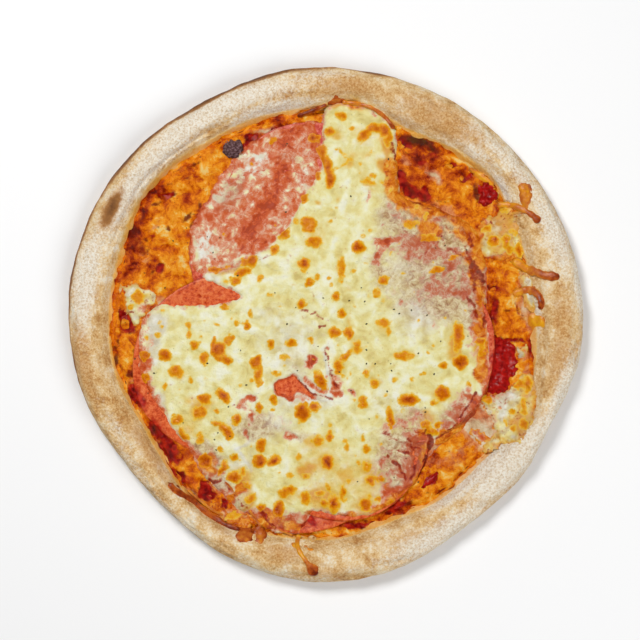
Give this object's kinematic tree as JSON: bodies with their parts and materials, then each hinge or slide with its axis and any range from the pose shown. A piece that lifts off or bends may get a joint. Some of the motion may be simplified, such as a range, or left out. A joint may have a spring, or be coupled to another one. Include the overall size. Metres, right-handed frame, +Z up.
{
  "type": "pepperoni pizza",
  "caption": "Round baked pizza with a raised bread rim, tomato sauce, large thin pepperoni slices and melted cheese browned in spots.",
  "frame": {"origin": "under the middle of the pizza's box, on the surface that it rests on", "axes": "+Z up out of the topped side, +Y towards the top of the pizza as seen from above with the largest lobe of upper cheese pointing that way, +X to the right"},
  "size_m": [0.2988, 0.2988, 0.0215],
  "materials": {
    "crust": "baked bread, matte, floury",
    "sauce": "wet tomato sauce",
    "cheese_under": "oily melted cheese, orange",
    "pepperoni": "fine-grained cured sausage, oily",
    "cheese_upper": "pale melted cheese, satin",
    "cheese_browned": "browned melted cheese",
    "tomato": "cooked tomato, wet",
    "char": "charred, dull"
  },
  "bodies": {
    "root": {"crust": "crust", "tomato_sauce": "sauce", "cheese_under": "cheese_under", "pepperoni_top": "pepperoni", "pepperoni_lower_left": "pepperoni", "pepperoni_upper_right": "pepperoni", "pepperoni_left": "pepperoni", "pepperoni_upper_left": "pepperoni", "pepperoni_bottom": "pepperoni", "pepperoni_right": "pepperoni", "cheese_upper": "cheese_upper", "cheese_patch_left": "cheese_upper", "cheese_patch_upper_right": "cheese_upper", "cheese_patch_lower_right": "cheese_upper", "tomato_piece_right": "tomato", "tomato_piece_upper_right": "tomato", "tomato_piece_lower_right": "tomato", "charred_bit": "char", "cheese_finger_upper": "cheese_upper", "cheese_finger_lower": "cheese_upper", "cheese_string_lower_left": "cheese_browned", "cheese_drip_bottom": "cheese_browned"}
  },
  "joints": []
}
